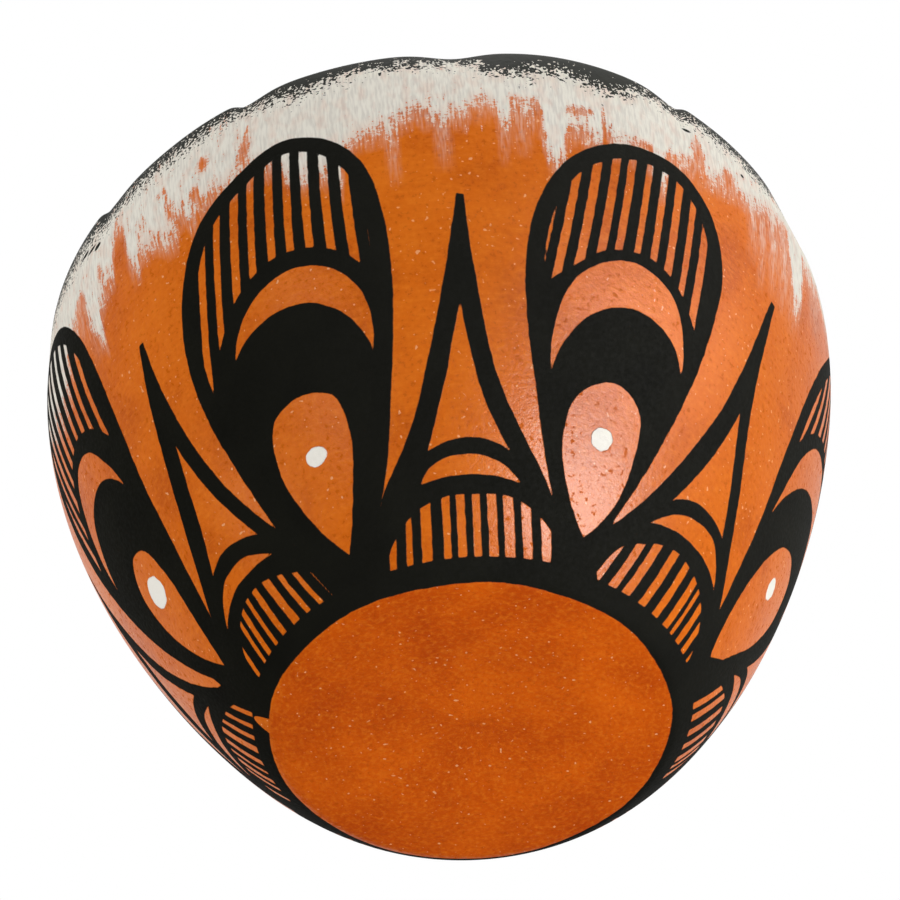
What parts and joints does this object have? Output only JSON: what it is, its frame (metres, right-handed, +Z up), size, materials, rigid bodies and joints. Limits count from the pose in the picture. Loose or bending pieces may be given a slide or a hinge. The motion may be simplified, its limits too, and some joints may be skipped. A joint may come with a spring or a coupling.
{
  "type": "pueblo pottery jar",
  "caption": "Small hand-coiled pottery jar with a wide open mouth, a narrow flat foot and a softly lobed lip, slipped and painted.",
  "frame": {"origin": "on the surface that the jar stands on, under the middle of the mouth (the bottom centre of the box)", "axes": "+Z up through the mouth, -Y towards the picture's camera, +X to its right"},
  "size_m": [0.1283, 0.1284, 0.0852],
  "materials": {
    "base_slip": "burnt orange slip, stone-polished to a soft sheen, with a black painted ring on the wall above the foot",
    "wall_slip": "orange slip, stone-polished to a soft sheen, with black paint in fine hatching and solid forms",
    "rim_slip": "matt white slip brushed over the orange, with a black painted lip"
  },
  "bodies": {
    "root": {"base": "base_slip", "coil_1": "wall_slip", "coil_2": "wall_slip", "coil_3": "wall_slip", "coil_4": "wall_slip", "coil_5": "wall_slip", "coil_6": "wall_slip", "rim_coil": "rim_slip"}
  },
  "joints": []
}
